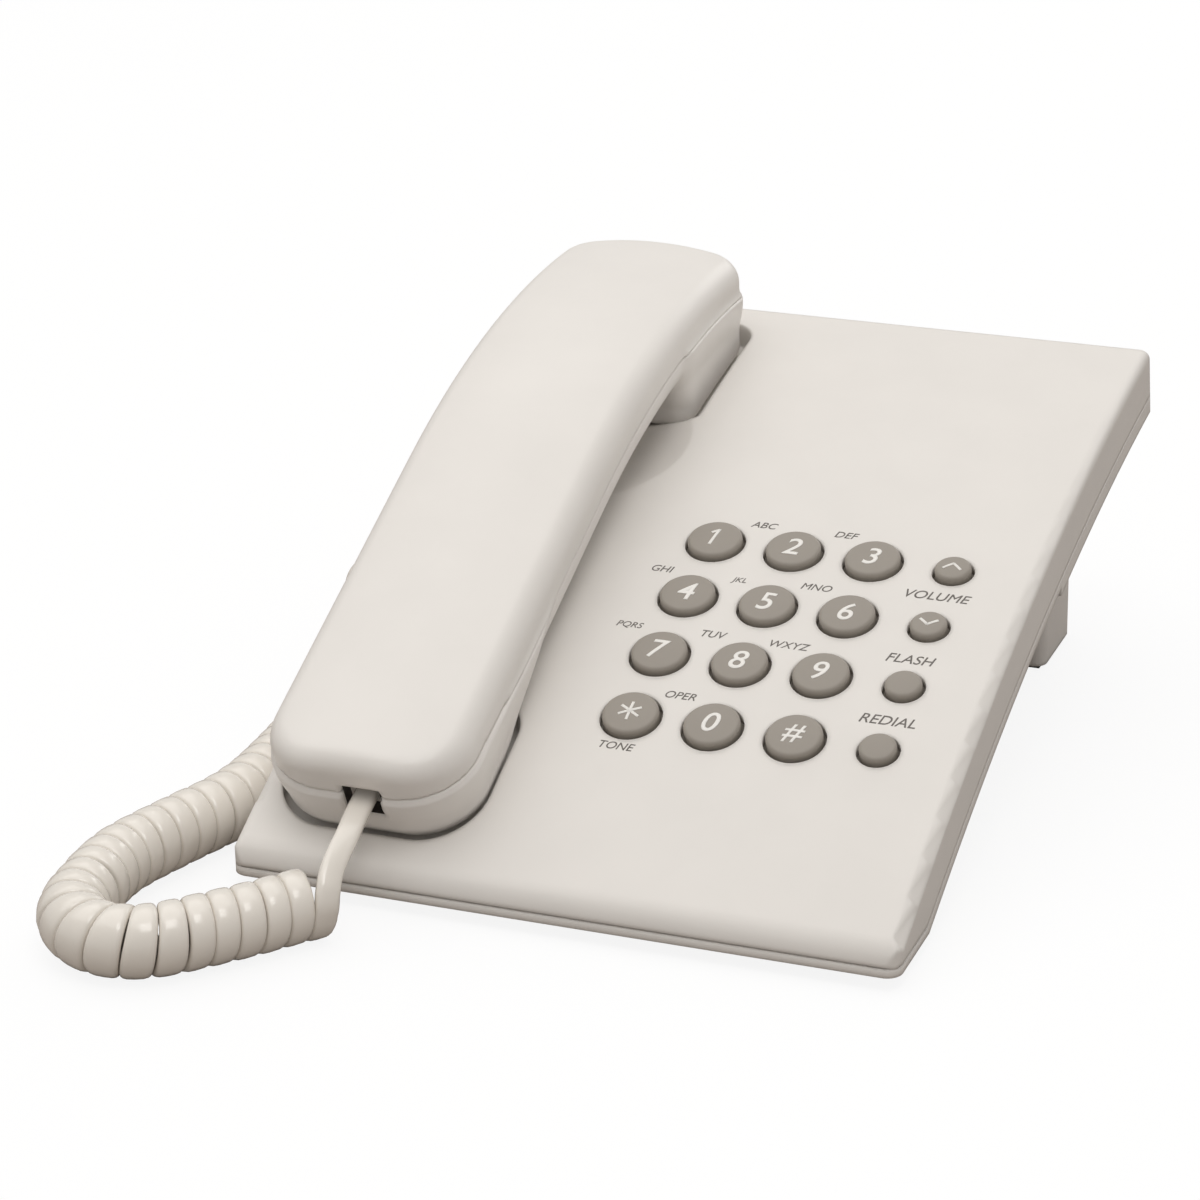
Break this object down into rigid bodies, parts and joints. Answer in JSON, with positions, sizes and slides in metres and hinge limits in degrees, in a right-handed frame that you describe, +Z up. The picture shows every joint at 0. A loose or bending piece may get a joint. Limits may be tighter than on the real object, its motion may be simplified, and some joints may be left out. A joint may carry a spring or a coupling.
{
  "type": "corded telephone",
  "caption": "Corded desk telephone: arched wedge base with round push keys, a lift-off handset lying in two wells along its left side, and a curly cord from handset to base.",
  "frame": {"origin": "centre of the telephone's outline seen from above, on the surface it stands on; the cord is left out of that outline", "axes": "+Z up; +X to the right of someone at the keypad; -Y towards them, so the low front edge is at -Y"},
  "size_m": [0.1792, 0.2571, 0.0908],
  "materials": {
    "case_plastic": "fine satin texture, warm off-white",
    "handset_plastic": "smooth satin, warm off-white",
    "key_plastic": "satin, brown grey",
    "dark_plastic": "satin, near black",
    "rubber_pad": "matt, dark grey",
    "silicone": "matt, pale grey",
    "board": "green solder mask",
    "steel": "zinc plated",
    "capacitor": "sleeved, dark blue",
    "cord_jacket": "smooth, warm off-white",
    "plug_plastic": "smooth, off-white"
  },
  "bodies": {
    "base": {"upper_case": "case_plastic", "lower_case": "case_plastic", "front_feet": "rubber_pad", "case_screws": "steel", "main_board": "board", "keypad_board": "board", "keypad_mat": "silicone", "line_transformer": "dark_plastic", "speech_chip": "dark_plastic", "capacitors": "capacitor", "ringer": "steel", "ballast_plate": "steel", "line_jack": "dark_plastic", "cord_jack": "dark_plastic", "hook_switch": "dark_plastic", "hook_spring": "steel", "ringer_switch": "steel", "dial_mode_switch": "steel", "base_plug": "plug_plastic", "curly_cord": "cord_jacket", "cord_tail_base": "cord_jacket"},
    "handset": {"handset_upper_shell": "handset_plastic", "handset_lower_shell": "handset_plastic", "receiver_capsule": "steel", "receiver_seal": "rubber_pad", "microphone_capsule": "steel", "microphone_boot": "rubber_pad", "handset_jack": "dark_plastic", "handset_weight": "steel", "handset_screws": "steel", "handset_plug": "plug_plastic", "cord_tail_handset": "cord_jacket"},
    "hook_button": {"hook_button": "case_plastic"},
    "ringer_knob": {"ringer_knob": "dark_plastic"},
    "dial_mode_knob": {"dial_mode_knob": "dark_plastic"},
    "stand": {"stand": "case_plastic", "stand_feet": "rubber_pad"},
    "key_1": {"key_1": "key_plastic"},
    "key_2": {"key_2": "key_plastic"},
    "key_3": {"key_3": "key_plastic"},
    "key_4": {"key_4": "key_plastic"},
    "key_5": {"key_5": "key_plastic"},
    "key_6": {"key_6": "key_plastic"},
    "key_7": {"key_7": "key_plastic"},
    "key_8": {"key_8": "key_plastic"},
    "key_9": {"key_9": "key_plastic"},
    "key_star": {"key_star": "key_plastic"},
    "key_0": {"key_0": "key_plastic"},
    "key_hash": {"key_hash": "key_plastic"},
    "volume_up_key": {"volume_up_key": "key_plastic"},
    "volume_down_key": {"volume_down_key": "key_plastic"},
    "flash_key": {"flash_key": "key_plastic"},
    "redial_key": {"redial_key": "key_plastic"}
  },
  "joints": [
    {"name": "handset_lift", "type": "slide", "parent": "base", "child": "handset", "axis": [0, 0, 1], "range_m": [0, 0.05]},
    {"name": "hook_rise", "type": "slide", "parent": "base", "child": "hook_button", "axis": [0, 0, 1], "range_m": [0, 0.003], "deforming": ["hook_spring"]},
    {"name": "key_1_press", "type": "slide", "parent": "base", "child": "key_1", "axis": [0, -0.2862, 0.9582], "range_m": [-0.0015, 0], "stiffness_N_per_m": 400},
    {"name": "key_2_press", "type": "slide", "parent": "base", "child": "key_2", "axis": [0, -0.2862, 0.9582], "range_m": [-0.0015, 0], "stiffness_N_per_m": 400},
    {"name": "key_3_press", "type": "slide", "parent": "base", "child": "key_3", "axis": [0, -0.2862, 0.9582], "range_m": [-0.0015, 0], "stiffness_N_per_m": 400},
    {"name": "key_4_press", "type": "slide", "parent": "base", "child": "key_4", "axis": [0, -0.3157, 0.9488], "range_m": [-0.0015, 0], "stiffness_N_per_m": 400},
    {"name": "key_5_press", "type": "slide", "parent": "base", "child": "key_5", "axis": [0, -0.3157, 0.9488], "range_m": [-0.0015, 0], "stiffness_N_per_m": 400},
    {"name": "key_6_press", "type": "slide", "parent": "base", "child": "key_6", "axis": [0, -0.3157, 0.9488], "range_m": [-0.0015, 0], "stiffness_N_per_m": 400},
    {"name": "key_7_press", "type": "slide", "parent": "base", "child": "key_7", "axis": [0, -0.345, 0.9386], "range_m": [-0.0015, 0], "stiffness_N_per_m": 400},
    {"name": "key_8_press", "type": "slide", "parent": "base", "child": "key_8", "axis": [0, -0.345, 0.9386], "range_m": [-0.0015, 0], "stiffness_N_per_m": 400},
    {"name": "key_9_press", "type": "slide", "parent": "base", "child": "key_9", "axis": [0, -0.345, 0.9386], "range_m": [-0.0015, 0], "stiffness_N_per_m": 400},
    {"name": "key_star_press", "type": "slide", "parent": "base", "child": "key_star", "axis": [0, -0.374, 0.9274], "range_m": [-0.0015, 0], "stiffness_N_per_m": 400},
    {"name": "key_0_press", "type": "slide", "parent": "base", "child": "key_0", "axis": [0, -0.374, 0.9274], "range_m": [-0.0015, 0], "stiffness_N_per_m": 400},
    {"name": "key_hash_press", "type": "slide", "parent": "base", "child": "key_hash", "axis": [0, -0.374, 0.9274], "range_m": [-0.0015, 0], "stiffness_N_per_m": 400},
    {"name": "volume_up_key_press", "type": "slide", "parent": "base", "child": "volume_up_key", "axis": [0, -0.2862, 0.9582], "range_m": [-0.0015, 0], "stiffness_N_per_m": 400},
    {"name": "volume_down_key_press", "type": "slide", "parent": "base", "child": "volume_down_key", "axis": [0, -0.3157, 0.9488], "range_m": [-0.0015, 0], "stiffness_N_per_m": 400},
    {"name": "flash_key_press", "type": "slide", "parent": "base", "child": "flash_key", "axis": [0, -0.345, 0.9386], "range_m": [-0.0015, 0], "stiffness_N_per_m": 400},
    {"name": "redial_key_press", "type": "slide", "parent": "base", "child": "redial_key", "axis": [0, -0.374, 0.9274], "range_m": [-0.0015, 0], "stiffness_N_per_m": 400},
    {"name": "ringer_knob_slide", "type": "slide", "parent": "base", "child": "ringer_knob", "axis": [1, 0, 0], "range_m": [-0.002, 0.002]},
    {"name": "dial_mode_knob_slide", "type": "slide", "parent": "base", "child": "dial_mode_knob", "axis": [1, 0, 0], "range_m": [-0.002, 0.002]},
    {"name": "stand_release", "type": "slide", "parent": "base", "child": "stand", "axis": [0, 0, 1], "range_m": [-0.012, 0]}
  ],
  "couplings": [
    {"joint": "hook_rise", "follows": "handset_lift", "ratio": 0.06}
  ]
}
